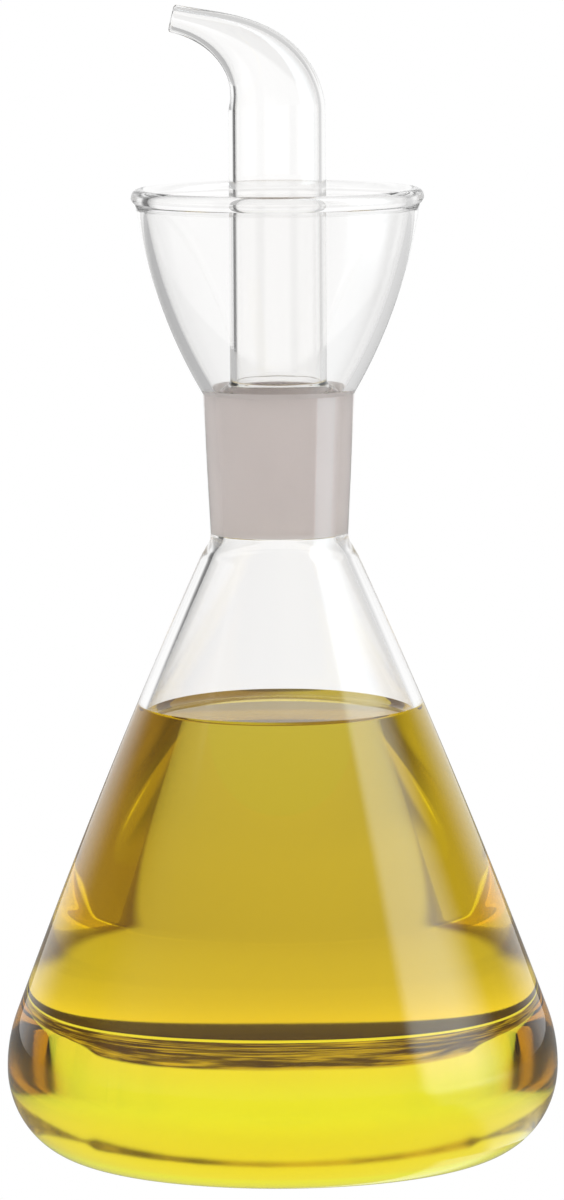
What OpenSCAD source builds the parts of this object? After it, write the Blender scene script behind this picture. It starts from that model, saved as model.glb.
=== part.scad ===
// Drip-free glass oil bottle for the table.
// A blown conical flask carries a ground neck and an open cup. The pourer is a hollow ground plug,
// a riser tube and a drawn, bent spout. It stands in the neck by its taper and lifts straight out.
// What runs down the spout is caught by the cup and goes back through the groove in the plug,
// which also lets air in while the bottle pours.
// Millimetres, +Z up. The origin is the middle of the foot, on the surface the bottle stands on.

/* [Flask] */
// Widest diameter of the flask, just above its heel
body_d = 105.4; // [98:0.2:115]
// Height from the foot to the lower end of the ground neck
flask_h = 119.2; // [105:0.2:135]
// Height of the widest point above the foot
heel_h = 17; // [12:0.5:22]
// Radius of the curve that turns the widest point into the side
shoulder_r = 30; // [20:1:40]
// How far the side bows out of a straight cone
side_bow = 0.9; // [0.4:0.1:2]
// Thickness of the side of the flask
wall = 2.0; // [1.4:0.1:2.6]
// Thickness of the bottom of the flask
floor_t = 3.0; // [2:0.1:4.5]
// Outer diameter of the flat ring that the flask stands on
foot_d = 75; // [64:1:84]
// Width of the flat ring
foot_w = 4; // [2:0.5:7]
// How far the middle of the bottom is pushed up
punt_h = 1.5; // [0.8:0.1:3]

/* [Ground joint] */
// Diameter of the socket's ground bore at its upper, wider end
joint_d = 24; // [22.4:0.1:26]
// Length of the ground bore
joint_len = 26.8; // [20:0.2:32]
// Loss of diameter for each millimetre of length, 1 in 10 on ground glass joints
joint_taper = 0.1; // [0.08:0.01:0.12]
// Thickness of the socket's wall
socket_wall = 2.4; // [2:0.1:3]
// Radial gap between the two ground faces
taper_clearance = 0.05; // [0.02:0.01:0.1]

/* [Drip cup] */
// Height from the top of the ground bore to the middle of the rim's bead
cup_h = 37.3; // [28:0.1:42]
// Outer diameter of the rim
rim_d = 55.6; // [48:0.2:64]
// Thickness of the rounded bead that finishes the rim
bead_d = 3.2; // [2.4:0.1:4]
// Thickness of the cup's wall
cup_wall = 1.8; // [1.2:0.1:2.2]
// How far the cup's side bows out of a straight cone
cup_bow = 2.0; // [0.5:0.1:3]

/* [Pourer] */
// Thickness of the hollow plug's wall
plug_wall = 2.0; // [1.6:0.1:2.4]
// How far the plug stops short of the socket's lower end
plug_short = 0.6; // [0:0.1:3]
// Height of the shoulder between plug and riser tube
neck_in_h = 2.6; // [1.5:0.1:5]
// Width of the drain groove along the plug
groove_w = 3; // [2:0.1:4]
// Depth of the drain groove
groove_depth = 0.9; // [0.4:0.1:1.2]
// Outer diameter of the riser tube
tube_d = 18.4; // [15:0.1:19.4]
// Thickness of the riser tube's wall
tube_wall = 1.25; // [0.9:0.05:1.8]
// Height of the start of the bend above the ground bore
riser_h = 53.4; // [44:0.1:70]

/* [Spout] */
// Length of the drawn spout along its middle line
spout_len = 29; // [26:0.5:38]
// How far the spout turns away from upright, in degrees
spout_turn = 77; // [55:1:90]
// How much tighter the bend is at its start than along the tip
bend_ease = 1.65; // [1.2:0.05:2]
// How late the tube thins out along the spout, under 1 for early
draw_ease = 0.9; // [0.8:0.05:1.2]
// Outer diameter of the tip
tip_d = 5.3; // [4.4:0.1:8]
// Thickness of the glass at the tip
tip_wall = 1.1; // [0.8:0.1:1.4]

/* [Oil] */
// Height of the oil's surface above the foot
oil_level = 84.8; // [40:0.1:98]
// How far the oil climbs the glass
meniscus_h = 1.2; // [0.6:0.1:1.8]
// Width of the curved edge of the oil's surface
meniscus_w = 3.2; // [2:0.1:4]

/* [Hidden] */
$fn = 96;

clear_glass = [0.88, 0.94, 0.93, 0.35];
ground_glass = [0.79, 0.76, 0.73];
olive_oil = [0.76, 0.69, 0.16];

body_r = body_d / 2;
foot_r = foot_d / 2;
ring_r = foot_r - foot_w;
taper_angle = atan(joint_taper / 2);
neck_top = flask_h + joint_len;
bend_z = neck_top + riser_h;
tube_r = tube_d / 2;
bore_r = tube_r - tube_wall;
bead_r = bead_d / 2;
rim_r = rim_d / 2 - bead_r;
rim_z = neck_top + cup_h;

// Points to a curve: the flask's side, the small curves of its heel, and the bends of the pourer
side_steps = 18;
curve_steps = 10;
cup_steps = 14;
spout_steps = 28;
spout_sides = 36;
// A cut or a hollow runs past the solid by this much where it has to break through
overrun = 1;

// Radius of the ground bore at a height, and of the glass around it
function socket_r(z) = joint_d / 2 - (neck_top - z) * joint_taper / 2;
function socket_outer_r(z) = socket_r(z) + socket_wall;
function plug_r(z) = socket_r(z) - taper_clearance;

// 1 at the start, 0 at the end, level at both
function eased(t) = (1 + cos(180 * t)) / 2;

// The circular arc from a to b that stands off its chord by bow, to the right of the way there
function bowed(a, b, bow, steps) =
    let (
        chord = norm(b - a),
        along = (b - a) / chord,
        out = [along.y, -along.x],
        r = (chord * chord / 4 + bow * bow) / (2 * bow),
        half = asin(chord / (2 * r)),
        middle = (a + b) / 2 - out * (r - bow)
    )
    [for (i = [0 : steps])
        let (t = half * (2 * i / steps - 1))
        middle + along * r * sin(t) + out * r * cos(t)];

// The points of an elliptical arc about a centre, between two angles
function elliptic(centre, across, up, from, to, steps) =
    [for (i = [0 : steps])
        let (t = from + (to - from) * i / steps)
        centre + [across * cos(t), up * sin(t)]];

// Where the widest curve hands over to the side: the angle at which one runs on into the other,
// found by putting each answer back in
function turn_angle(r, curve_r, top, angle = 20, tries = 12) =
    let (
        hand_over = [r - curve_r + curve_r * cos(angle), heel_h + curve_r * sin(angle)],
        chord = norm(top - hand_over),
        next = atan((hand_over.x - top.x) / (top.y - hand_over.y)) - 2 * atan(2 * side_bow / chord)
    )
    tries == 0 ? angle : turn_angle(r, curve_r, top, next, tries - 1);

// Half the outline of the flask, from its top down to the middle of the bottom,
// moved in by the side's wall and up by the floor's thickness
function flask_outline(top_r, side_in, floor_up) =
    let (
        r = body_r - side_in,
        curve_r = shoulder_r - side_in,
        top = [top_r, flask_h],
        angle = turn_angle(r, curve_r, top),
        hand_over = [r - curve_r + curve_r * cos(angle), heel_h + curve_r * sin(angle)],
        punt_r = (ring_r * ring_r + punt_h * punt_h) / (2 * punt_h),
        punt_angle = asin(ring_r / punt_r)
    )
    concat(
        [for (i = [side_steps : -1 : 1]) bowed(hand_over, top, side_bow, side_steps)[i]],
        elliptic([r - curve_r, heel_h], curve_r, curve_r, angle, 0, curve_steps),
        [for (i = [1 : curve_steps])
            elliptic([foot_r, heel_h], r - foot_r, heel_h - floor_up, 0, -90, curve_steps)[i]],
        elliptic([0, floor_up + punt_h - punt_r], punt_r, punt_r, 90 - punt_angle, 90, curve_steps)
    );

outside = flask_outline(socket_outer_r(flask_h), 0, 0);
inside = flask_outline(socket_r(flask_h), wall, floor_t);

// Radius of the flask's inner wall at a height above its heel
function inside_r(z) = lookup(z, [for (p = inside) if (p.y >= heel_h) [p.y, p.x]]);

module flask_body() {
    color(clear_glass)
    rotate_extrude()
    polygon(concat(outside, [for (i = [len(inside) - 1 : -1 : 0]) inside[i]]));
}

module neck_socket() {
    color(ground_glass)
    rotate_extrude()
    polygon([
        [socket_r(flask_h), flask_h],
        [socket_outer_r(flask_h), flask_h],
        [socket_outer_r(neck_top), neck_top],
        [socket_r(neck_top), neck_top]
    ]);
}

module drip_cup() {
    inner_foot = [socket_r(neck_top), neck_top];
    outer_foot = [socket_outer_r(neck_top), neck_top];
    inner_rim = [rim_r - cup_wall / 2, rim_z];
    outer_rim = [rim_r + cup_wall / 2, rim_z];
    lean = atan((outer_rim.x - outer_foot.x) / cup_h);
    inner_bow = cup_bow + (socket_wall + cup_wall) / 2 * cos(lean) - cup_wall;
    color(clear_glass) {
        rotate_extrude()
        polygon(concat(
            bowed(outer_rim, outer_foot, -cup_bow, cup_steps),
            bowed(inner_foot, inner_rim, inner_bow, cup_steps)
        ));
        rotate_extrude()
        translate([rim_r, rim_z])
        circle(bead_r);
    }
}

module oil_fill() {
    edge_z = oil_level + meniscus_h;
    edge_r = inside_r(edge_z);
    color(olive_oil)
    rotate_extrude()
    polygon(concat(
        [[0, oil_level]],
        [for (i = [0 : curve_steps - 1])
            let (t = i / curve_steps)
            [edge_r - meniscus_w * (1 - t), oil_level + meniscus_h * pow(t, 3)]],
        [[edge_r, edge_z]],
        [for (p = inside) if (p.y < edge_z && !(p.x < body_r / 2 && p.y > heel_h)) p]
    ));
}

module ground_plug() {
    bottom = flask_h + plug_short;
    shoulder_z = neck_top + neck_in_h;
    groove_r = (groove_w * groove_w / 4 + groove_depth * groove_depth) / (2 * groove_depth);
    color(ground_glass)
    difference() {
        rotate_extrude()
        polygon(concat(
            [[plug_r(bottom) - plug_wall, bottom], [plug_r(bottom), bottom]],
            [for (i = [0 : curve_steps])
                let (t = i / curve_steps)
                [tube_r + (plug_r(neck_top) - tube_r) * eased(t), neck_top + neck_in_h * t]],
            [for (i = [curve_steps : -1 : 0])
                let (t = i / curve_steps)
                [bore_r + (plug_r(neck_top) - plug_wall - bore_r) * eased(t), neck_top + neck_in_h * t]]
        ));
        // Drain groove, ground along the taper on the side away from the spout
        translate([plug_r(bottom) + groove_r - groove_depth, 0, bottom])
        rotate([0, taper_angle, 0])
        translate([0, 0, -overrun])
        cylinder(r = groove_r, h = shoulder_z - bottom + 2 * overrun);
    }
}

module riser_tube() {
    foot_z = neck_top + neck_in_h;
    color(clear_glass)
    translate([0, 0, foot_z])
    difference() {
        cylinder(r = tube_r, h = bend_z - foot_z);
        translate([0, 0, -overrun])
        cylinder(r = bore_r, h = bend_z - foot_z + 2 * overrun);
    }
}

// The spout's middle line: how far it has turned by a share t of its length, and where it is then
function spout_lean(t) = spout_turn * (1 - pow(1 - t, bend_ease));
spout_line = [for (
    i = 0, at = [0, bend_z];
    i <= spout_steps;
    lean = spout_lean((i + 0.5) / spout_steps),
    at = at + spout_len / spout_steps * [-sin(lean), cos(lean)],
    i = i + 1
) at];
function spout_outer_r(t) = tip_d / 2 + (tube_r - tip_d / 2) * eased(pow(t, draw_ease));
function spout_inner_r(t) = spout_outer_r(t) - tube_wall - (tip_wall - tube_wall) * t;

module pour_spout() {
    rings = [for (skin = [0, 1]) for (i = [0 : spout_steps])
        let (
            t = i / spout_steps,
            lean = spout_lean(t),
            r = skin == 0 ? spout_outer_r(t) : spout_inner_r(t)
        )
        [for (k = [0 : spout_sides - 1])
            let (a = 360 * k / spout_sides)
            [spout_line[i].x + r * cos(a) * cos(lean), r * sin(a), spout_line[i].y + r * cos(a) * sin(lean)]]];
    points = [for (ring = rings) for (p = ring) p];
    inner = (spout_steps + 1) * spout_sides;
    // Quads between ring i and the next, outer skin facing out and inner skin facing the bore
    skins = [for (i = [0 : spout_steps - 1]) for (k = [0 : spout_sides - 1])
        let (
            here = i * spout_sides + k,
            beside = i * spout_sides + (k + 1) % spout_sides,
            up = spout_sides
        )
        for (face = [
            [here, here + up, beside],
            [beside, here + up, beside + up],
            [inner + here, inner + beside, inner + here + up],
            [inner + beside, inner + beside + up, inner + here + up]
        ]) face];
    last = spout_steps * spout_sides;
    ends = [for (k = [0 : spout_sides - 1])
        let (next = (k + 1) % spout_sides)
        for (face = [
            [k, next, inner + k],
            [next, inner + next, inner + k],
            [last + k, inner + last + k, last + next],
            [last + next, inner + last + k, inner + last + next]
        ]) face];
    color(clear_glass)
    polyhedron(points, concat(skins, ends));
}

flask_body();
neck_socket();
drip_cup();
oil_fill();
ground_plug();
riser_tube();
pour_spout();
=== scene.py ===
# %% [markdown]
# # A drip-free glass oil bottle
#
# The bottle is clear blown glass: a conical flask with a ground neck, an open cup above the neck, and a
# pourer that stands in the neck by its ground plug. Oil fills the flask to about seven tenths of its height.
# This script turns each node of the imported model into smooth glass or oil, lights it and sets the camera.
# All lengths are metres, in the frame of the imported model.

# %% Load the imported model
import math

import bmesh
import bpy
from mathutils import Matrix, Vector


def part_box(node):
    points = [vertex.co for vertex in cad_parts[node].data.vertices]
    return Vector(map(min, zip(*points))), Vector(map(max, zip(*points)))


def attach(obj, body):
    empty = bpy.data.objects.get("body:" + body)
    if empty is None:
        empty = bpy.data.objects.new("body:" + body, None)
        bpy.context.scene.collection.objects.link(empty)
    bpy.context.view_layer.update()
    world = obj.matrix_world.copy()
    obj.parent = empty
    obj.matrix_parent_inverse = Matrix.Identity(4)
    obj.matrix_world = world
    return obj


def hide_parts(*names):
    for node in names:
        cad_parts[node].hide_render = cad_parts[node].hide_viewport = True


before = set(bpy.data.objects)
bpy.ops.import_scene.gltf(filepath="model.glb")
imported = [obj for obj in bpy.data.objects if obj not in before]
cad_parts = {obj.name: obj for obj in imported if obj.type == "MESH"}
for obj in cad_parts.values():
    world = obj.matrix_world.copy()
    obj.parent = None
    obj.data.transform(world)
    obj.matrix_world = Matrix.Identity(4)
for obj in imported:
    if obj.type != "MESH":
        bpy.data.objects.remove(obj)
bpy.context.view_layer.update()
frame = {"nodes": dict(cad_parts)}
MM = 0.001
print("nodes:", ", ".join(frame["nodes"]))

# %% [markdown]
# ## Sizes
#
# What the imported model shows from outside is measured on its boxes: widths, heights, the level of the oil.
# The solids' facets stop a few microns short of the full circle, so the widest radius is rounded. Walls and
# bows don't show on a box, so each is named once, in the step that needs it first.

# %% Measure the nodes
plug_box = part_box("ground_plug")
tube_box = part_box("riser_tube")
cup_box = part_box("drip_cup")
body_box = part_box("flask_body")

body_r = round(body_box[1].y, 5)
flask_h = body_box[1].z
neck_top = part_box("neck_socket")[1].z
oil_edge_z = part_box("oil_fill")[1].z
tube_r = tube_box[1].x
bend_z = tube_box[1].z
print(f"flask {2000 * body_r:.1f} mm wide, {1000 * flask_h:.1f} mm high to the neck")
print(f"oil to {1000 * oil_edge_z:.1f} mm, tube {2000 * tube_r:.1f} mm wide")

# %% [markdown]
# The flask, the socket, the cup and the plug all meet at the ground joint, so its cone is named here. It
# narrows by one tenth of its length, which is the usual taper: flat enough to hold, steep enough to let go.

# %% Name the ground joint
taper = 0.1
joint_r = 12 * MM
socket_wall = 2.4 * MM


def socket_r(z):
    """Radius of the ground bore at height z."""
    return joint_r - (neck_top - z) * taper / 2


def socket_points(z):
    """The outer and the inner point of the socket's wall at height z."""
    return Vector((socket_r(z) + socket_wall, z)), Vector((socket_r(z), z))


print(f"ground bore {2000 * socket_r(flask_h):.1f} to {2000 * socket_r(neck_top):.1f} mm wide")

# %% [markdown]
# ## Outlines
#
# Blown glass is a body of revolution, so each piece is one outline turned round the axis. Every arc of it
# is cut finely, because glass bends what is seen through it and a coarse facet shows at once. A Bezier
# curve could be drawn by hand instead, but then the real sizes would be lost in its handles.

# %% Cut lines and bowed lines
ARC_STEP = 0.6 * MM


def steps_for(length):
    """How many short pieces a curve of this length is cut into."""
    return max(2, math.ceil(length / ARC_STEP))


def line(a, b):
    """Points from a to b."""
    a, b = Vector(a), Vector(b)
    n = steps_for((b - a).length)
    return [a.lerp(b, i / n) for i in range(n + 1)]


def bowed(a, b, bow):
    """The circular arc from a to b that stands off its chord by bow, to the right of the way there."""
    a, b = Vector(a), Vector(b)
    chord = (b - a).length
    along = (b - a) / chord
    out = Vector((along.y, -along.x))
    r = (chord * chord / 4 + bow * bow) / (2 * bow)
    half = math.asin(chord / (2 * r))
    middle = (a + b) / 2 - out * (r - bow)
    n = steps_for(chord)
    turns = [half * (2 * i / n - 1) for i in range(n + 1)]
    return [middle + along * r * math.sin(t) + out * r * math.cos(t) for t in turns]


print(f"30 mm of line is cut into {steps_for(30 * MM)} pieces")

# %% [markdown]
# Heels, beads and lips are round, so they need arcs about a centre. Where one size has to pass into
# another without a kink, a share that eases off at both ends does it.

# %% Cut round corners
def elliptic(centre, across, up, start, end):
    """Points on an elliptical arc about centre, between two angles in degrees."""
    n = steps_for(max(across, up) * abs(math.radians(end - start)))
    turns = [math.radians(start + (end - start) * i / n) for i in range(n + 1)]
    return [Vector((centre[0] + across * math.cos(t), centre[1] + up * math.sin(t))) for t in turns]


def eased(t):
    """1 at the start, 0 at the end, level at both."""
    return (1 + math.cos(math.pi * t)) / 2


print("points in a quarter circle:", len(elliptic((0, 0), 10 * MM, 10 * MM, 0, 90)))

# %% [markdown]
# ## From outline to mesh
#
# An outline is a list of stretches, and each stretch carries the name of its finish, so one closed mesh can
# be clear outside and ground inside. The Screw modifier also turns an outline round an axis. Mesh code was
# chosen because it can give each stretch its own finish and keep the mesh closed, and glass has to be
# closed: a shader that bends light counts on going in and coming out.

# %% Read an outline
SAME_POINT = 1e-7
CORNER = math.radians(28)


def outline_points(stretches):
    """The points of a closed outline, and the finish of the band that follows each of them."""
    points, finishes = [], []
    for finish, run in stretches:
        for p in run:
            p = Vector((max(p[0], 0.0), p[1]))
            if points and (p - points[-1]).length < SAME_POINT:
                continue
            if points:
                finishes.append(finish)
            points.append(p)
    if (points[0] - points[-1]).length < SAME_POINT:
        points.pop()
    else:
        finishes.append(stretches[-1][0])
    return points, finishes


def corner(before, here, after):
    """True if the outline turns sharply at here."""
    a, b = here - before, after - here
    return a.length > 0 and b.length > 0 and a.angle(b) > CORNER


print(f"a turn of more than {math.degrees(CORNER):.0f} degrees is a corner")

# %% [markdown]
# A revolved mesh closes on itself twice: round the axis, and from the last ring back to the first. A point
# on the axis becomes one vertex, with triangles round it. Faces are shaded smooth, and a ring at a real
# corner is marked sharp, so that the shading doesn't smear round it.

# %% Join rings into a skin
def ring_at(bm, p, around, shape):
    """The ring of vertices that a point of the outline sweeps out, or one vertex on the axis."""
    if p.x < SAME_POINT:
        return [bm.verts.new((0, 0, p.y))]
    ring = []
    for k in range(around):
        a = 2 * math.pi * k / around
        co = Vector((p.x * math.cos(a), p.x * math.sin(a), p.y))
        ring.append(bm.verts.new(shape(co) if shape else co))
    return ring


def join_rings(bm, rings, slots):
    """Bands of faces from each ring to the next and from the last to the first, in their slots."""
    for i, low in enumerate(rings):
        high = rings[(i + 1) % len(rings)]
        if len(low) == 1 and len(high) == 1:
            continue
        around = max(len(low), len(high))
        for k in range(around):
            n = (k + 1) % around
            if len(low) == 1:
                corners = (low[0], high[n], high[k])
            elif len(high) == 1:
                corners = (low[k], low[n], high[0])
            else:
                corners = (low[k], low[n], high[n], high[k])
            face = bm.faces.new(corners)
            face.smooth = True
            face.material_index = slots[i]


def sharpen(bm, ring):
    """Marks the edges of a ring as a real corner."""
    for k, vertex in enumerate(ring):
        bm.edges.get((vertex, ring[(k + 1) % len(ring)])).smooth = False


AROUND = 256
print(f"a ring's vertices are {2000 * math.pi * body_r / AROUND:.1f} mm apart at the widest")

# %% [markdown]
# A piece now takes three moves: read its outline, sweep the rings, join them. Then the working mesh
# becomes an object of the scene.

# %% Turn an outline into a piece
FINISHES = {}


def make_piece(name, bm, materials):
    """The finished working mesh as an object in the scene."""
    mesh = bpy.data.meshes.new(name)
    bm.to_mesh(mesh)
    bm.free()
    for material in materials:
        mesh.materials.append(material)
    piece = bpy.data.objects.new(name, mesh)
    bpy.context.scene.collection.objects.link(piece)
    print(f"{name}: {len(mesh.vertices)} vertices, finishes {[m.name for m in materials]}")
    return piece


def revolve(name, stretches, around=AROUND, shape=None):
    """A closed body of revolution from a list of (finish, points). shape may move a finished point."""
    points, finishes = outline_points(stretches)
    slots = list(dict.fromkeys(finishes))
    bm = bmesh.new()
    rings = [ring_at(bm, p, around, shape) for p in points]
    join_rings(bm, rings, [slots.index(finish) for finish in finishes])
    for i, ring in enumerate(rings):
        if len(ring) > 1 and corner(points[i - 1], points[i], points[(i + 1) % len(points)]):
            sharpen(bm, ring)
    bmesh.ops.recalc_face_normals(bm, faces=bm.faces)
    return make_piece(name, bm, [FINISHES[slot] for slot in slots])


def sleeve(name, start, end, bore_finish):
    """A straight tube, clear outside and sealed at both ends. An end is an outer point and a bore point."""
    (outer_a, bore_a), (outer_b, bore_b) = start, end
    return revolve(
        name,
        [
            ("clear", line(outer_a, outer_b)),
            ("joined", [outer_b, bore_b]),
            (bore_finish, line(bore_b, bore_a)),
            ("joined", [bore_a, outer_a]),
        ],
    )


print("helpers ready: make_piece, revolve, sleeve")

# %% [markdown]
# ## Shader arithmetic
#
# A finish is a formula over the surface. Wrapping a socket in a small class lets it be written as one:
# `1 - mask * 0.3` adds the Math nodes by itself. Python asks for an operator in two ways, with the wire
# first or second, so each comes as a pair. Every other node comes from one method, which takes the node's
# type, its settings and the values or links of its inputs. The same nodes could be placed by hand in the
# Shader Editor, but a formula is quicker to read and to change.

# %% A socket that does arithmetic
def both_ways(operation):
    """The two methods of an operator: the wire first, and reflected, the wire second."""
    return (
        lambda wire, other: wire.maths(operation, wire, other),
        lambda wire, other: wire.maths(operation, other, wire),
    )


class Wire:
    """A node tree with one of its sockets. Numbers and wires combine into Math nodes."""

    def __init__(self, tree, socket=None):
        self.tree = tree
        self.socket = socket

    def add(self, kind, settings=None, inputs=None, output=0):
        """A new node of this kind, with its settings made first and then its inputs set or linked."""
        node = self.tree.nodes.new(kind)
        for key, value in (settings or {}).items():
            setattr(node, key, value)
        for key, value in (inputs or {}).items():
            if isinstance(value, Wire):
                self.tree.links.new(value.socket, node.inputs[key])
            else:
                node.inputs[key].default_value = value
        return Wire(self.tree, node.outputs[output]) if len(node.outputs) else Wire(self.tree)

    def maths(self, operation, a, b=0.0):
        """A Math node."""
        return self.add("ShaderNodeMath", {"operation": operation}, {0: a, 1: b})

    __add__, __radd__ = both_ways("ADD")
    __sub__, __rsub__ = both_ways("SUBTRACT")
    __mul__, __rmul__ = both_ways("MULTIPLY")
    __truediv__, __rtruediv__ = both_ways("DIVIDE")
    __gt__, __lt__ = both_ways("GREATER_THAN")

    def __abs__(self):
        return self.maths("ABSOLUTE", self)

    def step(self, low, high):
        """0 below low, 1 above high, smooth between."""
        smooth = {"interpolation_type": "SMOOTHSTEP"}
        return self.add("ShaderNodeMapRange", smooth, {"Value": self, "From Min": low, "From Max": high})

    def axes(self):
        """The x, y and z of a vector, as three wires."""
        split = self.add("ShaderNodeSeparateXYZ", {}, {0: self}).socket.node
        return [Wire(self.tree, part) for part in split.outputs]

    def length(self):
        """How long a vector is."""
        return self.add("ShaderNodeVectorMath", {"operation": "LENGTH"}, {0: self}, output="Value")

    def noise(self, scale, detail=2.0, roughness=0.5):
        """A soft random pattern over a vector."""
        pattern = {"Vector": self, "Scale": scale, "Detail": detail, "Roughness": roughness}
        return self.add("ShaderNodeTexNoise", {}, pattern)


print("operators of a wire: + - * / > < and abs")

# %% [markdown]
# Every finish starts from an empty material and ends at its output. Patterns lie over the piece's own
# coordinates, which move with the piece, so nothing slides when the pourer is lifted.

# %% Open and close a finish
WHITE = (1, 1, 1, 1)


def new_finish(name):
    """An empty material, and a wire to build it from."""
    material = bpy.data.materials.new(name)
    material.use_nodes = True
    material.node_tree.nodes.clear()
    return material, Wire(material.node_tree)


def close_finish(material, w, **parts):
    """Joins the shaders to the output of the material."""
    w.add("ShaderNodeOutputMaterial", {}, parts)
    print(f"{material.name}: {len(w.tree.nodes)} nodes")
    return material


def own_place(w):
    """The piece's own coordinates, in metres."""
    return w.add("ShaderNodeTexCoord", output="Object")


print("finish helpers ready: new_finish, close_finish, own_place")

# %% [markdown]
# Three kinds of shader come back in several finishes: a skin that bends light, a bump, and a mix of two
# shaders. The Glass shader also bends light, but the Principled one was chosen. The Principled one was
# chosen because the closing export can read it.

# %% Shaders that come back
def refracting(w, tint, roughness, ior, normal):
    """A skin that lets all light in and bends it."""
    skin = {"Base Color": tint, "Roughness": roughness, "IOR": ior, "Normal": normal}
    return w.add("ShaderNodeBsdfPrincipled", {}, {**skin, "Transmission Weight": 1.0})


def bump(w, height, strength, depth):
    """A skin that rises and falls by a pattern. The depth is in metres."""
    return w.add("ShaderNodeBump", {}, {"Strength": strength, "Distance": depth, "Height": height})


def over(w, share, a, b):
    """One shader passing into another as the share goes from nought to one."""
    return w.add("ShaderNodeMixShader", {}, {0: share, 1: a, 2: b})


print("shaders ready: refracting, bump, over")

# %% [markdown]
# ## Clear glass
#
# Borosilicate glass bends light by 1.47 and has almost no colour. Blown by hand it is never optically flat:
# its surface waves by a few hundredths of a millimetre over a couple of centimetres, and that is what
# makes the streaks in a full bottle. So the finish is a plain refracting shader with a very shallow, very
# wide bump. The heel rubs against tables and neighbours and has gone a little hazy, so it is slightly
# rough and scatters a small share of the light.

# %% Make the clear glass
GLASS_IOR = 1.472
GLASS_TINT = (0.995, 0.993, 0.99, 1)
WAVES_PER_M = 28.0
HEEL_BEGINS, HEEL_ENDS = (6 * MM, 10 * MM), (20 * MM, 27 * MM)
HEEL_HAZE = 0.07
HEEL_SCATTER = 0.05

clear_glass, w = new_finish("clear_glass")
place = own_place(w)
height = place.axes()[2]
heel = height.step(*HEEL_BEGINS) * (1 - height.step(*HEEL_ENDS))
waves = bump(w, place.noise(WAVES_PER_M, detail=1.5), strength=0.25, depth=0.12 * MM)
body = refracting(w, GLASS_TINT, heel * HEEL_HAZE, GLASS_IOR, waves)
worn = w.add("ShaderNodeBsdfTranslucent", {}, {"Color": WHITE})
FINISHES["clear"] = close_finish(clear_glass, w, Surface=over(w, heel * HEEL_SCATTER, body, worn))

# %% [markdown]
# ## Ground glass
#
# The two faces of the joint are ground with fine abrasive until they match. The skin is then all tiny
# pits, which scatter light: seen through the clear wall of the socket it reads as a warm pale grey. A
# rough refracting shader alone stays too dark and too clear, so it is mixed with a chalky one, which sends
# most light back and lets the rest through. A fine noise in the bump gives the grain, and a wide one in
# the roughness and the mix gives the clouds that the grinding leaves.

# %% Make the ground glass
GRAIN_PER_M = 2600.0
CLOUDS_PER_M = 90.0
GROUND_TINT = (0.95, 0.91, 0.89, 1)
CHALK = (0.98, 0.925, 0.905, 1)
LET_THROUGH = 0.3
MATT, MATT_CLOUDS = 0.42, 0.14
CHALKY, CHALKY_CLOUDS = 0.75, 0.1

ground_glass, w = new_finish("ground_glass")
place = own_place(w)
cloud = place.noise(CLOUDS_PER_M)
grain = place.noise(GRAIN_PER_M, detail=3.0, roughness=0.6)
pits = bump(w, grain, strength=0.35, depth=0.05 * MM)
scatter = refracting(w, GROUND_TINT, MATT + cloud * MATT_CLOUDS, GLASS_IOR, pits)
back = w.add("ShaderNodeBsdfDiffuse", {}, {"Color": CHALK, "Roughness": 0.6, "Normal": pits})
through = w.add("ShaderNodeBsdfTranslucent", {}, {"Color": CHALK, "Normal": pits})
chalk = over(w, LET_THROUGH, back, through)
surface = over(w, CHALKY + cloud * CHALKY_CLOUDS, scatter, chalk)
FINISHES["ground"] = close_finish(ground_glass, w, Surface=surface)

# %% [markdown]
# ## Faces that light doesn't notice
#
# Where two pieces of glass are sealed to each other in the flame there is no surface any more, and where
# oil wets glass there is almost none, because oil and glass bend light alike. A refracting shader there
# would draw a bright ring that no real bottle has. Leaving those faces out would open the meshes. So the
# faces stay and let light straight on.

# %% Make the joined face
def unseen(w):
    """A face that light doesn't notice."""
    return w.add("ShaderNodeBsdfTransparent", {}, {"Color": WHITE})


joined_glass, w = new_finish("joined_glass")
FINISHES["joined"] = close_finish(joined_glass, w, Surface=unseen(w))

# %% [markdown]
# ## The oil's colour
#
# Olive oil takes its colour from its depth: blue is gone after a few millimetres, red and green fade
# slowly, so a thin edge is lemon and the middle is amber. That is absorption in the volume. A tinted
# surface would give every depth one colour. The oil's sides wet the glass and vanish, and its top is a
# free, refracting surface, so one shader switches between the two by where the face is and how level it
# lies. It has to be one material, because light that enters through the side and leaves through the top
# must leave the same volume.

# %% Make the oil's finish
OIL_IOR = 1.468
FILM_TINT = (1.0, 0.98, 0.86, 1)
SWELLS_PER_M = 40.0
OIL_COLOUR = (0.973, 0.927, 0.09, 1)
OIL_DENSITY = 45.0
TOP_BAND = 0.05 * MM
MOSTLY_LEVEL = 0.5
meniscus_h = 1.2 * MM
oil_level = oil_edge_z - meniscus_h

olive_oil, w = new_finish("olive_oil")
place = own_place(w)
facing_up = w.add("ShaderNodeNewGeometry", output="True Normal").axes()[2]
at_top = place.axes()[2] > oil_level - TOP_BAND
level = abs(facing_up) > MOSTLY_LEVEL
swells = bump(w, place.noise(SWELLS_PER_M), strength=0.2, depth=0.1 * MM)
film = refracting(w, FILM_TINT, 0.0, OIL_IOR, swells)
depth = w.add("ShaderNodeVolumeAbsorption", {}, {"Color": OIL_COLOUR, "Density": OIL_DENSITY})
skin = over(w, at_top * level, unseen(w), film)
FINISHES["oil"] = close_finish(olive_oil, w, Surface=skin, Volume=depth)

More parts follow.
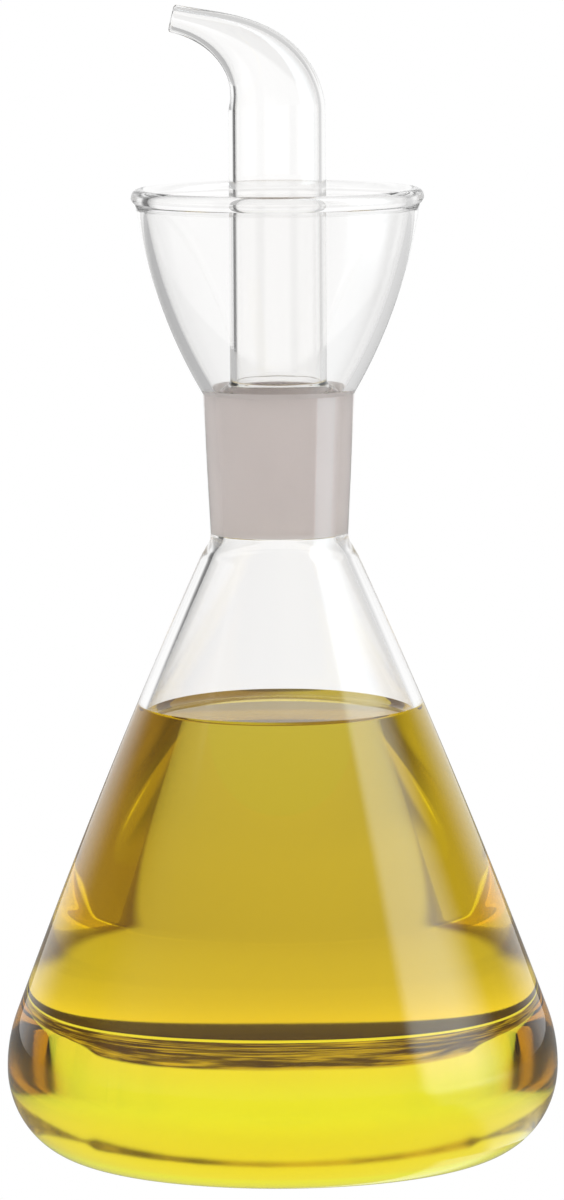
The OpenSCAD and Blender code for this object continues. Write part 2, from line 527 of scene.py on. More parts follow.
# %% [markdown]
# ## Flask
#
# The flask is a cone with slightly bowed sides that turns under in a wide heel and stands on a flat
# ring, with its bottom pushed up a little so that it doesn't rock. Its inside is the outside moved in by
# the wall. A Solidify modifier could add the wall, but the floor is thicker than the side. So one function
# draws the half outline, and it is called once for each face of the glass. Curve and side have to run on
# without a kink, and the angle for that is found by trying one and putting the answer back in.

# %% Draw the flask's half outline
heel_h = 17 * MM
shoulder_r = 30 * MM
side_bow = 0.9 * MM
foot_r = 37.5 * MM
ring_r = 33.5 * MM
punt_h = 1.5 * MM
FIRST_GUESS = math.radians(20)
TRIES = 12


def turn_angle(r, curve_r, top):
    """The angle and the point where the widest curve runs on into the bowed side."""
    angle = FIRST_GUESS
    for _ in range(TRIES):
        at = Vector((r - curve_r + curve_r * math.cos(angle), heel_h + curve_r * math.sin(angle)))
        chord = (top - at).length
        angle = math.atan((at.x - top.x) / (top.y - at.y)) - 2 * math.atan(2 * side_bow / chord)
    return angle, at


def flask_outline(top_r, side_in, floor_up):
    """The flask's half outline from its top down to the middle of its bottom."""
    r, curve_r, top = body_r - side_in, shoulder_r - side_in, Vector((top_r, flask_h))
    angle, at = turn_angle(r, curve_r, top)
    punt_r = (ring_r**2 + punt_h**2) / (2 * punt_h)
    punt_angle = math.degrees(math.asin(ring_r / punt_r))
    return (
        list(reversed(bowed(at, top, side_bow)))
        + elliptic((r - curve_r, heel_h), curve_r, curve_r, math.degrees(angle), 0)
        + elliptic((foot_r, heel_h), r - foot_r, heel_h - floor_up, 0, -90)
        + line((foot_r, floor_up), (ring_r, floor_up))
        + elliptic((0, floor_up + punt_h - punt_r), punt_r, punt_r, 90 - punt_angle, 90)
    )


print(f"the flask stands on a ring {2000 * ring_r:.0f} to {2000 * foot_r:.0f} mm wide")

# %% [markdown]
# Where the side meets the neck the flame leaves a small hollow curve and no corner. A Bevel modifier would
# round all the edges alike. Here the first stretch is swapped for a cubic curve that leaves the neck
# at the neck's slope and arrives at the side's.

# %% Run the side into the neck
NECK_BLEND = 4 * MM


def blend_into_neck(run, lean):
    """The run with its first stretch replaced by a hollow curve that leaves the neck at its slope."""
    top = run[0]
    rest = [p for p in run if p.y < top.y - NECK_BLEND]
    foot = rest[0]
    leave = Vector((-lean, -1)).normalized() * NECK_BLEND
    arrive = (rest[1] - rest[0]).normalized() * NECK_BLEND
    n = 2 * steps_for(NECK_BLEND)
    curve = []
    for i in range(n):
        t = i / n
        curve.append(
            top * (2 * t**3 - 3 * t**2 + 1)
            + leave * (t**3 - 2 * t**2 + t)
            + foot * (3 * t**2 - 2 * t**3)
            + arrive * (t**3 - t**2)
        )
    return curve + rest


wall = 2.0 * MM
floor_t = 3.0 * MM
outside = blend_into_neck(flask_outline(socket_r(flask_h) + socket_wall, 0, 0), taper / 2)
inside = blend_into_neck(flask_outline(socket_r(flask_h), wall, floor_t), taper / 2)
print(f"outlines of {len(outside)} and {len(inside)} points")

# %% [markdown]
# Below the oil the inside is wetted, so it is a joined face, and above the oil it is clear. The outline is
# cut exactly at the oil's edge, and the cut point belongs to both stretches.

# %% Make the flask
dry = [p for p in inside if p.y >= oil_edge_z]
wet = [p for p in inside if p.y < oil_edge_z]
share = (oil_edge_z - wet[0].y) / (dry[-1].y - wet[0].y)
waterline = wet[0].lerp(dry[-1], share)
flask = revolve(
    "flask_body_glass",
    [
        ("clear", outside),
        ("joined", list(reversed(wet)) + [waterline]),
        ("clear", [waterline] + list(reversed(dry))),
        ("joined", [inside[0], outside[0]]),
    ],
)

# %% [markdown]
# ## Neck
#
# The socket is a plain tapered tube, sealed below to the flask and above to the cup. Only its bore is
# ground. The matt bore is seen through the clear outside, which is why the band looks deep and not painted
# on. A cone with a Solidify modifier would have the form, but not a finish for each of its four faces.

# %% Make the socket
socket = sleeve("neck_socket_glass", socket_points(neck_top), socket_points(flask_h), "ground")

# %% [markdown]
# ## Cup
#
# The cup's side is a bowed sheet of even thickness. Held in the flame its rim melts and draws up into a
# round bead. A torus laid on a bowl would show a seam in the glass. So one outline runs round it all: even
# up the side, swelling just under the rim, and closed by an arc on top.

# %% Draw the cup's side
cup_wall = 1.8 * MM
cup_bow = 2.0 * MM
bead_r = 1.6 * MM
SWELL = 2.4 * MM
SWELL_SHARE = 0.45
rim_r = cup_box[1].x - bead_r
rim_z = cup_box[1].z - bead_r


def swollen(run, side):
    """The run with its upper end pushed out to the bead, on the side given as 1 or -1."""
    out = []
    for i, p in enumerate(run):
        ahead = (run[min(i + 1, len(run) - 1)] - run[max(i - 1, 0)]).normalized()
        push = Vector((ahead.y, -ahead.x)) * side
        below = min(max((rim_z - p.y) / SWELL, 0.0), 1.0)
        round_off = math.sqrt(max(0.0, 1 - min(1.0, (rim_z - p.y) / bead_r) ** 2)) * bead_r - cup_wall / 2
        grown = max(round_off, (bead_r - cup_wall / 2) * eased(below) * SWELL_SHARE, 0.0)
        out.append(p + push * grown)
    return out


def fine(run, parts=4):
    """The run with each short piece cut again."""
    out = []
    for a, b in zip(run, run[1:]):
        out += [a.lerp(b, i / parts) for i in range(parts)]
    return out + [run[-1]]


print(f"rim {2000 * (rim_r + bead_r):.1f} mm wide, its bead {2000 * bead_r:.1f} mm thick")

# %% [markdown]
# The cup is wider at its foot than its own wall, because there it meets the socket's thicker wall. The
# inner side bows a little more to take that up. The grinding tool runs out just above the bore, so the
# first millimetre of the cup's inside is matt too.

# %% Make the cup
MATT_EDGE = 1.2 * MM
BEAD_FROM, BEAD_TO = 172, 8

foot_outer, foot_inner = socket_points(neck_top)
rim_outer = Vector((rim_r + cup_wall / 2, rim_z))
rim_inner = Vector((rim_r - cup_wall / 2, rim_z))
lean = math.atan((rim_outer.x - foot_outer.x) / (rim_z - neck_top))
inner_bow = cup_bow + (socket_wall + cup_wall) / 2 * math.cos(lean) - cup_wall
outer_side = swollen(fine(list(reversed(bowed(rim_outer, foot_outer, -cup_bow)))), 1)
inner_side = swollen(fine(bowed(foot_inner, rim_inner, inner_bow)), -1)
matt_points = sum(1 for p in inner_side if p.y < neck_top + MATT_EDGE)
cup = revolve(
    "drip_cup_glass",
    [
        ("ground", inner_side[: matt_points + 1]),
        ("clear", inner_side[matt_points:]),
        ("clear", elliptic((rim_r, rim_z), bead_r, bead_r, BEAD_FROM, BEAD_TO)),
        ("clear", list(reversed(outer_side))),
        ("joined", [foot_outer, foot_inner]),
    ],
)

# %% [markdown]
# ## Plug
#
# The plug is ground outside only, and a shallow groove runs down its side away from the spout, so that oil
# caught by the cup gets back into the flask. A Boolean cut would leave thin, ragged faces in the glass. So
# the groove is made by moving the points that lie in its width onto the round of the wheel that cut it.

# %% Shape the plug's groove
taper_clearance = 0.05 * MM
groove_w = 3 * MM
groove_depth = 0.9 * MM
wheel_r = (groove_w**2 / 4 + groove_depth**2) / (2 * groove_depth)


def plug_r(z):
    """Outer radius of the plug at height z."""
    return socket_r(z) - taper_clearance


def grooved(co):
    """Moves a point of the plug's outer face onto the groove, if it lies in its width."""
    r = math.hypot(co.x, co.y)
    if co.x <= 0 or abs(co.y) >= groove_w / 2 or r < plug_r(co.z) - groove_depth:
        return co
    floor = plug_r(co.z) + wheel_r - groove_depth - math.sqrt(wheel_r**2 - co.y**2)
    return Vector((min(co.x, floor), co.y, co.z))


print(f"groove cut by the round of a wheel {2000 * wheel_r:.1f} mm wide")

# %% [markdown]
# The plug's shoulder draws in to the riser tube in one soft curve, level at both ends. Its inside follows,
# and the two end in a seal.

# %% Make the plug
PLUG_AROUND = 384
SHOULDER_STEPS = 12
plug_wall = 2.0 * MM
tube_wall = 1.25 * MM
bore_r = tube_r - tube_wall
plug_bottom, shoulder_top = plug_box[0].z, plug_box[1].z


def shoulder_line(low_r, high_r):
    """One face of the shoulder, from the ground cone up to the tube."""
    shares = [i / SHOULDER_STEPS for i in range(SHOULDER_STEPS + 1)]
    rise = shoulder_top - neck_top
    return [Vector((high_r + (low_r - high_r) * eased(t), neck_top + rise * t)) for t in shares]


shoulder = shoulder_line(plug_r(neck_top), tube_r)
inner_shoulder = list(reversed(shoulder_line(plug_r(neck_top) - plug_wall, bore_r)))
plug_foot = Vector((plug_r(plug_bottom), plug_bottom))
plug_foot_inner = Vector((plug_r(plug_bottom) - plug_wall, plug_bottom))
plug = revolve(
    "ground_plug_glass",
    [
        ("ground", line(plug_foot, (plug_r(neck_top), neck_top))),
        ("clear", shoulder),
        ("joined", [shoulder[-1], inner_shoulder[0]]),
        ("clear", inner_shoulder),
        ("clear", line(inner_shoulder[-1], plug_foot_inner)),
        ("clear", [plug_foot_inner, plug_foot]),
    ],
    around=PLUG_AROUND,
    shape=grooved,
)

# %% [markdown]
# ## Riser tube
#
# The riser is drawn tube of one width, cut to length and sealed to the plug below and to the spout above.
# Since it is straight, the helper that made the socket makes it too.

# %% Make the riser tube
def tube_points(z):
    """The outer and the inner point of the tube's wall at height z."""
    return Vector((tube_r, z)), Vector((bore_r, z))


tube = sleeve("riser_tube_glass", tube_points(tube_box[0].z), tube_points(bend_z), "clear")

# %% [markdown]
# ## Spout
#
# The end of the tube is softened, pulled out thin and bent over in one move, so bend and taper belong
# together. A curve with a round bevel could follow the bend, but it gives no inside. So rings follow a
# middle line whose lean grows fast at first and slowly along the tip, while the radius eases into the tip's.

# %% Find the spout's middle line
tip_r = 2.65 * MM
tip_wall = 1.1 * MM
spout_len = 29 * MM
spout_turn = math.radians(77)
bend_ease = 1.65
draw_ease = 0.9
ALONG = 110


def spout_lean(t):
    """How far the spout leans at a share t of its length."""
    return spout_turn * (1 - (1 - t) ** bend_ease)


def spout_outer_r(t):
    """The outer radius at a share t of the length."""
    return tip_r + (tube_r - tip_r) * eased(t**draw_ease)


def spout_inner_r(t):
    """The inner radius: the wall thins out a little on the way."""
    return spout_outer_r(t) - tube_wall - (tip_wall - tube_wall) * t


at = Vector((0, 0, bend_z))
line_points = [at.copy()]
for i in range(ALONG):
    lean_here = spout_lean((i + 0.5) / ALONG)
    at = at + Vector((-math.sin(lean_here), 0, math.cos(lean_here))) * (spout_len / ALONG)
    line_points.append(at.copy())
print(f"the tip is {-1000 * at.x:.1f} mm to the side and {1000 * (at.z - bend_z):.1f} mm above the bend")

# %% [markdown]
# The tip is cut and fire polished, which leaves a round lip. So both walls stop short of the tip by the
# lip's radius, and a half circle joins them.

# %% Make the spout
SIDES = 128
LIP = 8
lip_r = tip_wall / 2
tip_dir = Vector((-math.sin(spout_turn), 0, math.cos(spout_turn)))


def spout_ring(bm, at, lean, r):
    """A ring of vertices round a point of the middle line, square to it."""
    across = Vector((math.cos(lean), 0, math.sin(lean)))
    ring = []
    for k in range(SIDES):
        a = 2 * math.pi * k / SIDES
        ring.append(bm.verts.new(at + across * (r * math.cos(a)) + Vector((0, r * math.sin(a), 0))))
    return ring


def spout_wall(bm, stations, radius):
    """The rings of one face of the wall, up to where the lip begins."""
    kept = [i for i in stations if (1 - i / ALONG) * spout_len > lip_r]
    return [spout_ring(bm, line_points[i], spout_lean(i / ALONG), radius(i / ALONG)) for i in kept]


bm = bmesh.new()
rings = spout_wall(bm, range(ALONG + 1), spout_outer_r)
for j in range(LIP + 1):
    a = math.pi * j / LIP
    centre = line_points[-1] - tip_dir * (lip_r * (1 - math.sin(a)))
    rings.append(spout_ring(bm, centre, spout_turn, tip_r - lip_r + lip_r * math.cos(a)))
rings += spout_wall(bm, range(ALONG, -1, -1), spout_inner_r)
join_rings(bm, rings, [0] * (len(rings) - 1) + [1])
sharpen(bm, rings[0])
sharpen(bm, rings[-1])
bmesh.ops.recalc_face_normals(bm, faces=bm.faces)
spout = make_piece("pour_spout_glass", bm, [FINISHES["clear"], FINISHES["joined"]])

# %% [markdown]
# ## Oil
#
# The oil fills the flask to its level. It stays a hair clear of the wall, which nobody can see, because
# neither face bends light, and which keeps the two meshes from lying in each other. At the wall its
# surface climbs a little and meets the glass at a shallow angle. A liquid simulation would find the same
# shape, but slowly.

# %% Make the oil
HAIR = 0.02 * MM
CLIMB_STEPS = 12
meniscus_w = 3.2 * MM


def off_the_wall(p):
    """The point moved a hair in from the side, and off the floor too where it lies on it."""
    return Vector((max(p.x - HAIR, 0.0), p.y + (HAIR if p.x < foot_r else 0.0)))


below = [off_the_wall(p) for p in [waterline] + wet]
climb = []
for i in range(CLIMB_STEPS):
    t = i / CLIMB_STEPS
    climb.append(Vector((below[0].x - meniscus_w * (1 - t), oil_level + meniscus_h * t**3)))
oil = revolve("oil_fill_oil", [("oil", line((0, oil_level), climb[0])), ("oil", climb), ("oil", below)])

# %% [markdown]
# ## Put the pieces in the frame
#
# Each mesh stands for the imported node it was drawn from and rides on the same body, so the pourer lifts
# out of the flask as one.

# %% Ride and replace
for piece, node, body_name, slot_name in (
    (flask, "flask_body", "flask", "clear_glass"),
    (socket, "neck_socket", "flask", "ground_glass"),
    (cup, "drip_cup", "flask", "clear_glass"),
    (oil, "oil_fill", "flask", "olive_oil"),
    (plug, "ground_plug", "pourer", "ground_glass"),
    (tube, "riser_tube", "pourer", "clear_glass"),
    (spout, "pour_spout", "pourer", "clear_glass"),
):
    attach(piece, body_name)
    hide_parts(node)
    print(f"{piece.name} rides on the {body_name}")

# %% [markdown]
# ## Studio
#
# Clear glass has hardly a look of its own. It is drawn by what stands round it: a bright field keeps it
# transparent, and dark places at its sides are bent into its edges and draw them. A full bottle also picks
# up what lies low and far off, because the oil turns it into a thick lens. In a studio each of these gets
# its own card or flag. Here the set is two papers under the bottle, a tent of light and a weak lamp.
#
# The bottle stands as on a clear shelf. A ring of paper lies just below the shelf, open under the bottle's
# foot, and a table lies 20 mm lower. Both are round, so that none of their corners shows in the oil.

# %% How a paper is cut
SHEET_HOLE, SHEET_R, SHEET_DROP = 48 * MM, 119 * MM, 0.3 * MM
TABLE_R, TABLE_DROP = 1.5, 20 * MM
PAPER_SIDES = 128


def circle(bm, r):
    """A ring of vertices on the paper."""
    turns = [2 * math.pi * k / PAPER_SIDES for k in range(PAPER_SIDES)]
    return [bm.verts.new((r * math.cos(t), r * math.sin(t), 0)) for t in turns]


def paper(name, hole, r, drop, finish):
    """A round paper at this depth below the shelf, with or without a round hole."""
    bm = bmesh.new()
    inner = circle(bm, hole) if hole else []
    outer = circle(bm, r)
    if not hole:
        bm.faces.new(outer)
    for k in range(len(inner)):
        n = (k + 1) % PAPER_SIDES
        bm.faces.new((inner[k], outer[k], outer[n], inner[n]))
    piece = make_piece(name, bm, [finish])
    piece.location.z = -drop
    return piece


print(f"sheet {2000 * SHEET_HOLE:.0f} to {2000 * SHEET_R:.0f} mm wide, table {2 * TABLE_R:.0f} m wide")

# %% [markdown]
# ## Kinds of light
#
# A card beside a bottle can face the oil and be hidden from the neck. Papers and tent can't hide, so they
# ask how the light came. The Light Path node counts it: one transmission for each face that bent the
# light, one transparent bounce for each joined face and one glossy bounce for each mirror.
# Light through the full flask crosses six faces or more, four of them joined. Light through empty glass
# meets no joined face, or crosses fewer in all where it passes a seal. Mirrored light came off the outer
# skin, if it never crossed a face, or else it turned back inside a wall or in the oil. Only papers and
# tent ask this. The bottle's own finishes don't.

# %% Tell kinds of light apart
ONCE = 0.5
OIL_FACES = 5.5


def counted(w, kind):
    """How many times this light has bounced in a way that the path node names."""
    return w.add("ShaderNodeLightPath", output=kind)


def crossed(w):
    """One where light came through glass, or else nought."""
    return counted(w, "Transmission Depth") > ONCE


def turned(w):
    """One where light met a mirror on its way, or else nought."""
    return counted(w, "Glossy Depth") > ONCE


def wetted(w):
    """One where light came through the oil: six faces with joined ones among them. A seal makes fewer."""
    sealed = counted(w, "Transparent Depth")
    faces = sealed + counted(w, "Transmission Depth")
    return (faces > OIL_FACES) * (sealed > ONCE)


print("light is told apart as crossed, turned and wetted")

# %% [markdown]
# The tones of papers and tent are laid one over another, each with its own share. A Math node would turn
# a colour grey, so colours pass into each other in Mix nodes.

# %% Tones of the studio
def blended(w, share, a, b):
    """One colour passing into another as the share goes from nought to one."""
    return w.add("ShaderNodeMix", {"data_type": "RGBA"}, {0: share, 6: a, 7: b}, output=2)


def grey(v, tint=1.0):
    """A neutral or slightly warm grey."""
    return (v, v * tint, v * tint**2, 1)


def matt(w, colour):
    """Dull paper, which never shines."""
    return w.add("ShaderNodeBsdfDiffuse", {}, {"Color": colour})


def glowing(w, colour):
    """A face that gives its own even light."""
    return w.add("ShaderNodeEmission", {}, {"Color": colour, "Strength": 1.0})


def tall_window(x, y):
    """One in the directions where a tall window stands on the right, with soft sides, or else nought."""
    bearing = y / x
    near_side = bearing.step(-0.66, -0.46)
    far_side = 1 - bearing.step(-0.12, 0.40)
    return x.step(0.0, 0.001) * near_side * far_side


print("tones ready: blended, grey, matt, glowing, tall_window")

# %% [markdown]
# ## Papers
#
# Looked at directly, both papers are plain white, like the field behind the bottle. Where the outer skin
# mirrors them they are dim, and bright at the foot of the tall window, so that the window's reflection
# runs on down to the heel. Empty glass above them also sees white, but light that turned inside its wall
# is dimmed, more on the left, away from the window. Only the full flask sees their other tones, and those
# are painted shade and painted light.

# %% Helpers for the papers
PAPER_LEFT_TO_RIGHT = (-20 * MM, 20 * MM)
WINDOW_FOOT_NEAR = (0.9, 1.0, 1.05, 1)
WINDOW_FOOT_FAR = (3.3, 3.7, 4.0, 1)
SKIN_TONE = grey(0.3)
TURNED_LEFT, TURNED_RIGHT = grey(0.52), grey(0.78)


def hollow_face(w):
    """What empty glass sees below it: white, but dim where the light turned inside a wall."""
    right = own_place(w).axes()[0].step(*PAPER_LEFT_TO_RIGHT)
    return glowing(w, blended(w, turned(w), WHITE, blended(w, right, TURNED_LEFT, TURNED_RIGHT)))


def close_paper(material, w, full_face, r):
    """Joins what the full flask sees, what empty glass sees, what the skin mirrors and the camera's white."""
    x, y, _ = own_place(w).axes()
    window_foot = blended(w, r.step(0.3, 0.8), WINDOW_FOOT_NEAR, WINDOW_FOOT_FAR)
    mirrored_face = glowing(w, blended(w, tall_window(x, y), SKIN_TONE, window_foot))
    face = over(w, wetted(w), hollow_face(w), full_face)
    off_the_skin = (counted(w, "Transmission Depth") < ONCE) * turned(w)
    face = over(w, off_the_skin, face, mirrored_face)
    face = over(w, counted(w, "Is Camera Ray"), face, glowing(w, WHITE))
    return close_finish(material, w, Surface=face)


print("paper helpers ready: hollow_face, close_paper")

# %% [markdown]
# Seen through the oil, the sheet has a buff tone, which the oil deepens to gold. That tone is painted: it
# mixes the bottle's shade with light tinted by the oil. Close to the foot a darker painted shadow of the
# bottle lies on it. Past that edge a painted sheen glows at flat angles, in place of the shine of coated
# paper. A Fresnel node gives the share of the painted sheen.

# %% Make the sheet's finish
# painted shadow of the bottle on the sheet close to its foot
FOOT_SHADE = (0.10, 0.055, 0.03, 1)
# painted warm shade: the bottle's shade and the oil-tinted light on the floor behind it, seen only through
# the oil
PAINTED_WARM_SHADE = (0.395, 0.335, 0.20, 1)
# painted sheen: an even glow in place of the reflection off coated paper at flat angles
PAINTED_SHEEN = (1.62, 1.33, 0.80, 1)
SHADE_EDGE = (74.5 * MM, 80.5 * MM)
PAINTED_SHEEN_IOR = 1.4

sheet_paper, w = new_finish("sheet_paper")
r = own_place(w).length()
# the Fresnel share mixes the painted sheen over the painted warm shade
painted_sheen_share = w.add("ShaderNodeFresnel", {}, {"IOR": PAINTED_SHEEN_IOR})
warm_shade_with_sheen = over(w, painted_sheen_share, matt(w, PAINTED_WARM_SHADE), glowing(w, PAINTED_SHEEN))
close_paper(sheet_paper, w, over(w, r.step(*SHADE_EDGE), matt(w, FOOT_SHADE), warm_shade_with_sheen), r)

# %% [markdown]
# The table shows between the sheet's edge and the tent. Light straight through the oil finds it pale and
# warm at first, a painted shade like the sheet's, then dark, then white where the room begins. Light that
# turned back inside the oil looks down past the foot, where the table glows with painted shade and light:
# a painted shadow of the bottle, brown near the foot and darkest in front, and painted gold light further
# out.

# %% Make the table's finish
# painted pale shade: the warm, shaded floor seen straight through the oil
PAINTED_PALE_SHADE = (0.418, 0.373, 0.205, 1)
DARK = (0.05, 0.03, 0.02, 1)
# painted shadow of the bottle near the foot, and painted gold light further out, for light that turned in the
# oil
NEAR_LEFT, NEAR_RIGHT = (0.56, 0.50, 0.30, 1), (0.32, 0.215, 0.12, 1)
FAR_LEFT, FAR_RIGHT = (1.30, 1.25, 0.80, 1), (1.30, 1.08, 0.30, 1)
DEEP_SHADE = (0.06, 0.04, 0.02, 1)
DEEP_SHARE = 0.75
DARK_EDGE = (0.19, 0.213)
ROOM_EDGE = (0.7, 0.78)
SHADE_FRONT, SHADE_RIM, SHADE_OUT = (-22 * MM, -12 * MM), (78 * MM, 88 * MM), (102 * MM, 122 * MM)

table_paper, w = new_finish("table_paper")
place = own_place(w)
r = place.length()
x, y, _ = place.axes()
right = x.step(*PAPER_LEFT_TO_RIGHT)
# painted shade: the bottle's shadow on the table, darkest in front of the foot
deep = (1 - y.step(*SHADE_FRONT)) * (1 - r.step(*SHADE_RIM)) * DEEP_SHARE
near_shade = blended(w, deep, blended(w, right, NEAR_LEFT, NEAR_RIGHT), DEEP_SHADE)
far_painted_light = blended(w, right, FAR_LEFT, FAR_RIGHT)
# the painted shade and painted light glow by themselves; no lamp lights them
shaded = glowing(w, blended(w, r.step(*SHADE_OUT), near_shade, far_painted_light))
room = r.step(*ROOM_EDGE)
straight = over(w, r.step(*DARK_EDGE) * (1 - room), matt(w, PAINTED_PALE_SHADE), matt(w, DARK))
straight = over(w, room, straight, glowing(w, WHITE))
close_paper(table_paper, w, over(w, turned(w), straight, shaded), r)

# %% Lay the papers
sheet = paper("sheet", SHEET_HOLE, SHEET_R, SHEET_DROP, sheet_paper)
table_top = paper("table", 0, TABLE_R, TABLE_DROP, table_paper)

# %% [markdown]
# ## Tent
#
# The walls of the tent are far away, so they are painted on the world by direction alone and need no
# meshes. A direction is a vector of length one: x runs to the right, y to the back and z up. The two
# numbers of a step are where along such an axis a tone begins and where it is full. Each kind of light
# gets its own view of the tent, and the views are joined at the end.

# %% Open the world
world = bpy.data.worlds.new("light_tent")
bpy.context.scene.world = world
world.use_nodes = True
world.node_tree.nodes.clear()
w = Wire(world.node_tree)
x, y, z = w.add("ShaderNodeTexCoord", output="Generated").axes()
print("an empty world and its directions")

# %% [markdown]
# The full flask shows the room upside down. It sees white walls above a dark table edge, and that edge
# becomes the streaked band above the heel. The streaks are a noise that is stretched flat. High up the walls
# turn a little green, and below the table's edge their four corners are grey.

# %% Paint what the full flask sees
TINY = 0.0001
SLIT_FOOT = (-0.035, -0.02)
SLIT_TOP, SLIT_DROP, SLIT_SOFT = 0.150, 0.012, 0.010
STREAKS_ACROSS, STREAKS_UP = 4, 55
STREAK_DARK, STREAK_LIGHT = (0.09, 0.05, 0.025, 1), (0.75, 0.58, 0.32, 1)
LOW_WALL, HIGH_WALL = grey(1.05), (1.04, 1.20, 1.08, 1)
CORNER_TONE = grey(0.5, 0.96)
CORNER_EDGE = (0.86, 0.98)

diagonal = abs(x * y) * 2 / (x * x + y * y + TINY)
corners = diagonal.step(*CORNER_EDGE) * (1 - z.step(0.0, 0.02))
slit_top = SLIT_TOP - abs(x).step(0.50, 0.56) * SLIT_DROP
slit = z.step(*SLIT_FOOT) * (1 - (z - slit_top).step(0.0, SLIT_SOFT))
stretched = {0: x * STREAKS_ACROSS, 1: y * STREAKS_ACROSS, 2: z * STREAKS_UP}
streaks = w.add("ShaderNodeCombineXYZ", {}, stretched).noise(1.0, detail=3.5, roughness=0.65)
slit_colour = blended(w, streaks.step(0.42, 0.66), STREAK_DARK, STREAK_LIGHT)
walls = blended(w, corners, blended(w, z.step(0.15, 0.27), LOW_WALL, HIGH_WALL), CORNER_TONE)
full_view = blended(w, slit, walls, slit_colour)
print("full view,", len(w.tree.nodes), "nodes so far")

# %% [markdown]
# Empty glass has to stay white in the middle, so straight light sees white walls and only a breath of the
# table edge. The thin grey lines along the glass are drawn by light that turned inside a wall: it sees
# the gaps at the corners, steep walls that are dim, and a dim far wall. The left wall turns its light
# to the left and the right wall to the right, so the two sides can have their own greys.

# %% Paint what empty glass sees
LEFT_TO_RIGHT = (-0.1, 0.1)
STEEP_SHARE = 0.8
SLIT_SHARE = 0.15
SLIT_TONE = grey(0.3, 0.96)
GAP_LEFT, GAP_RIGHT = grey(0.10), grey(0.72)
STEEP_LEFT, STEEP_RIGHT = grey(0.25), grey(0.6)
FAR_WALL = grey(0.58, 0.98)

right = x.step(*LEFT_TO_RIGHT)
steep = abs(z + 0.1).step(0.25, 0.40)
far_wall = y.step(0.90, 0.96) * z.step(0.03, 0.06) * (1 - z.step(0.16, 0.20))
edge_view = blended(w, diagonal.step(*CORNER_EDGE), WHITE, blended(w, right, GAP_LEFT, GAP_RIGHT))
edge_view = blended(w, steep * STEEP_SHARE, edge_view, blended(w, right, STEEP_LEFT, STEEP_RIGHT))
edge_view = blended(w, far_wall, edge_view, FAR_WALL)
straight_view = blended(w, slit * SLIT_SHARE, LOW_WALL, SLIT_TONE)
hollow_view = blended(w, turned(w), straight_view, edge_view)
print("hollow view,", len(w.tree.nodes), "nodes so far")

# %% [markdown]
# The outer skin mirrors only a few hundredths of what stands round it, except at flat angles. A tall window
# on the right, far brighter than white, and a slim one on the left show in it as soft upright streaks. In
# front the room is a pale grey, at its sides it is dim, and at the back it is white, so that the outline
# of the glass melts into the field.

# %% Paint what the skin mirrors
WINDOW_LIGHT = (3.9, 4.4, 4.7, 1)
SLIM_WINDOW_LIGHT = grey(1.1)
ROOM_FRONT, ROOM_SIDES = grey(0.65), grey(0.2)

bearing = y / x
right_window = tall_window(x, y) * (0.5 + z.step(-0.25, 0.25) * 0.5)
slim_near = bearing.step(0.30, 0.38)
slim_far = 1 - bearing.step(0.44, 0.52)
left_window = (0 - x).step(0.0, 0.1) * slim_near * slim_far * z.step(0.485, 0.53)
mirrored_view = blended(w, y.step(-0.3, 0.2), ROOM_FRONT, ROOM_SIDES)
mirrored_view = blended(w, y.step(0.5, 0.85), mirrored_view, WHITE)
mirrored_view = blended(w, right_window, mirrored_view, WINDOW_LIGHT)
mirrored_view = blended(w, left_window, mirrored_view, SLIM_WINDOW_LIGHT)
print("mirrored view,", len(w.tree.nodes), "nodes so far")

# %% [markdown]
# The views are joined by the kind of light. Light that turned inside the oil sees one even gold. Matt
# faces, such as the ground joint and the papers, gather even light from all round, and more of it where
# it came through glass, to make up for what glass sends back. What is looked at directly is white.

# %% Join the views
TURNED_IN_OIL = (0.75, 0.66, 0.42, 1)
OPEN_LIGHT, COVERED_LIGHT = grey(0.85), grey(1.48)

through_glass = crossed(w)
oil_view = blended(w, turned(w), full_view, TURNED_IN_OIL)
inner_view = blended(w, wetted(w), hollow_view, oil_view)
clear_view = blended(w, through_glass, mirrored_view, inner_view)
matt_view = blended(w, through_glass, OPEN_LIGHT, COVERED_LIGHT)
lit_view = blended(w, counted(w, "Diffuse Depth") > ONCE, clear_view, matt_view)
colour = blended(w, counted(w, "Is Camera Ray"), lit_view, WHITE)
field = w.add("ShaderNodeBackground", {}, {"Color": colour, "Strength": 1.0})
w.add("ShaderNodeOutputWorld", {}, {"Surface": field})
print(f"tent: {len(w.tree.nodes)} nodes")

# %% [markdown]
# ## Lamp
#
# The tent gives even light, so one weak, soft lamp in front, high up on the right, gives the matt joint
# and the papers a direction. Glass and camera don't see it, because it would show as a bright square.

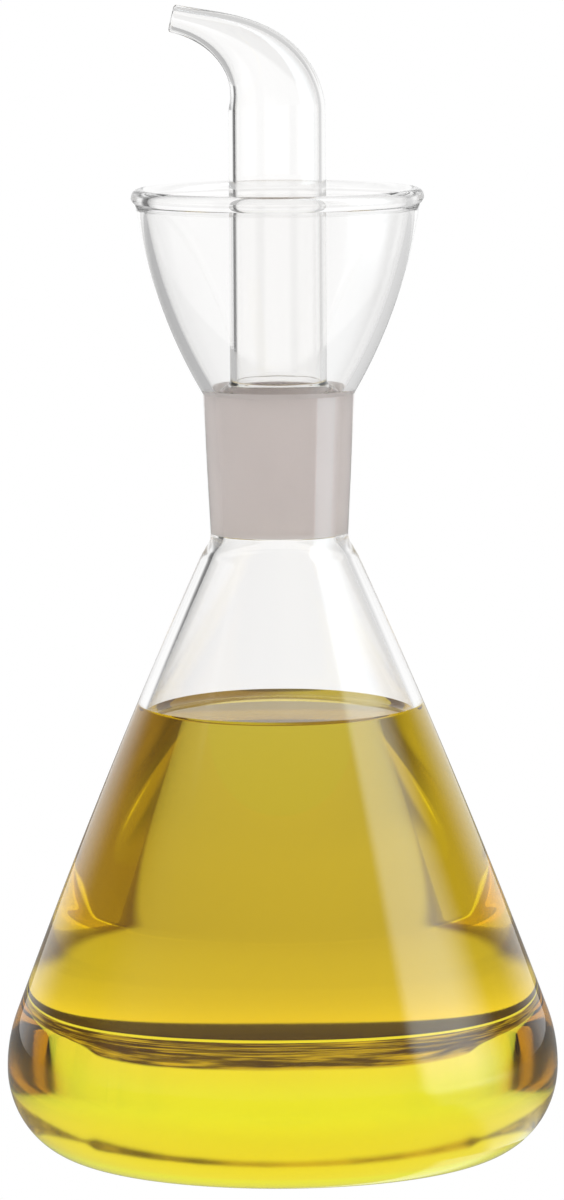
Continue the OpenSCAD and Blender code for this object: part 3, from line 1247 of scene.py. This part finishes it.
# %% Hang the lamp
LAMP_TURN = math.radians(40)
LAMP_AWAY = 0.9
LAMP_UP = 1.0
LAMP_AIM = Vector((0, 0, 0.12))
lamp_data = bpy.data.lights.new("top_lamp", "AREA")
lamp_data.size = 0.5
lamp_data.energy = 2.0
top_lamp = bpy.data.objects.new("top_lamp", lamp_data)
top_lamp.location = Vector((LAMP_AWAY * math.sin(LAMP_TURN), -LAMP_AWAY * math.cos(LAMP_TURN), LAMP_UP))
top_lamp.rotation_euler = (LAMP_AIM - top_lamp.location).to_track_quat("-Z", "Y").to_euler()
top_lamp.visible_camera = False
top_lamp.visible_glossy = False
top_lamp.visible_transmission = False
bpy.context.scene.collection.objects.link(top_lamp)
print(f"lamp {lamp_data.size:.1f} m wide, {lamp_data.energy:.0f} W")

# %% [markdown]
# ## Camera
#
# A long lens from a metre and a half away, a little above the oil, looking slightly down: the ellipses of
# foot, oil and rim grow flatter towards the top. A short lens close by would make the cup look larger than
# it is. The place is built as one matrix, because the small roll has to come after the tilt.

# %% Set the camera
CAMERA_AT = Vector((0.0004, -1.5, 0.2806))
LOOK_DOWN = math.radians(6.624)
ROLL = math.radians(0.35)
LENS_MM = 237.9
camera_data = bpy.data.cameras.new("camera")
camera_data.lens = LENS_MM
camera_data.clip_end = 30
camera = bpy.data.objects.new("camera", camera_data)
camera.matrix_world = (
    Matrix.Translation(CAMERA_AT)
    @ Matrix.Rotation(math.radians(90) - LOOK_DOWN, 4, "X")
    @ Matrix.Rotation(-ROLL, 4, "Z")
)
bpy.context.scene.collection.objects.link(camera)
bpy.context.scene.camera = camera
print(f"camera {-CAMERA_AT.y:.1f} m away, {1000 * CAMERA_AT.z:.0f} mm up, lens {LENS_MM} mm")

# %% [markdown]
# ## Light paths and tone
#
# Light through the full bottle crosses six faces or more and can turn back many times inside a wall.
# Where the limit on bounces cuts it off the glass goes black, so the limits are raised. White has to stay
# white, so the picture uses the plain standard tone.

# %% Set the light paths
scene = bpy.context.scene
scene.cycles.max_bounces = 40
scene.cycles.transmission_bounces = 24
scene.cycles.glossy_bounces = 32
scene.cycles.transparent_max_bounces = 32
scene.view_settings.view_transform = "Standard"
print(f"up to {scene.cycles.max_bounces} bounces, tone {scene.view_settings.view_transform}")
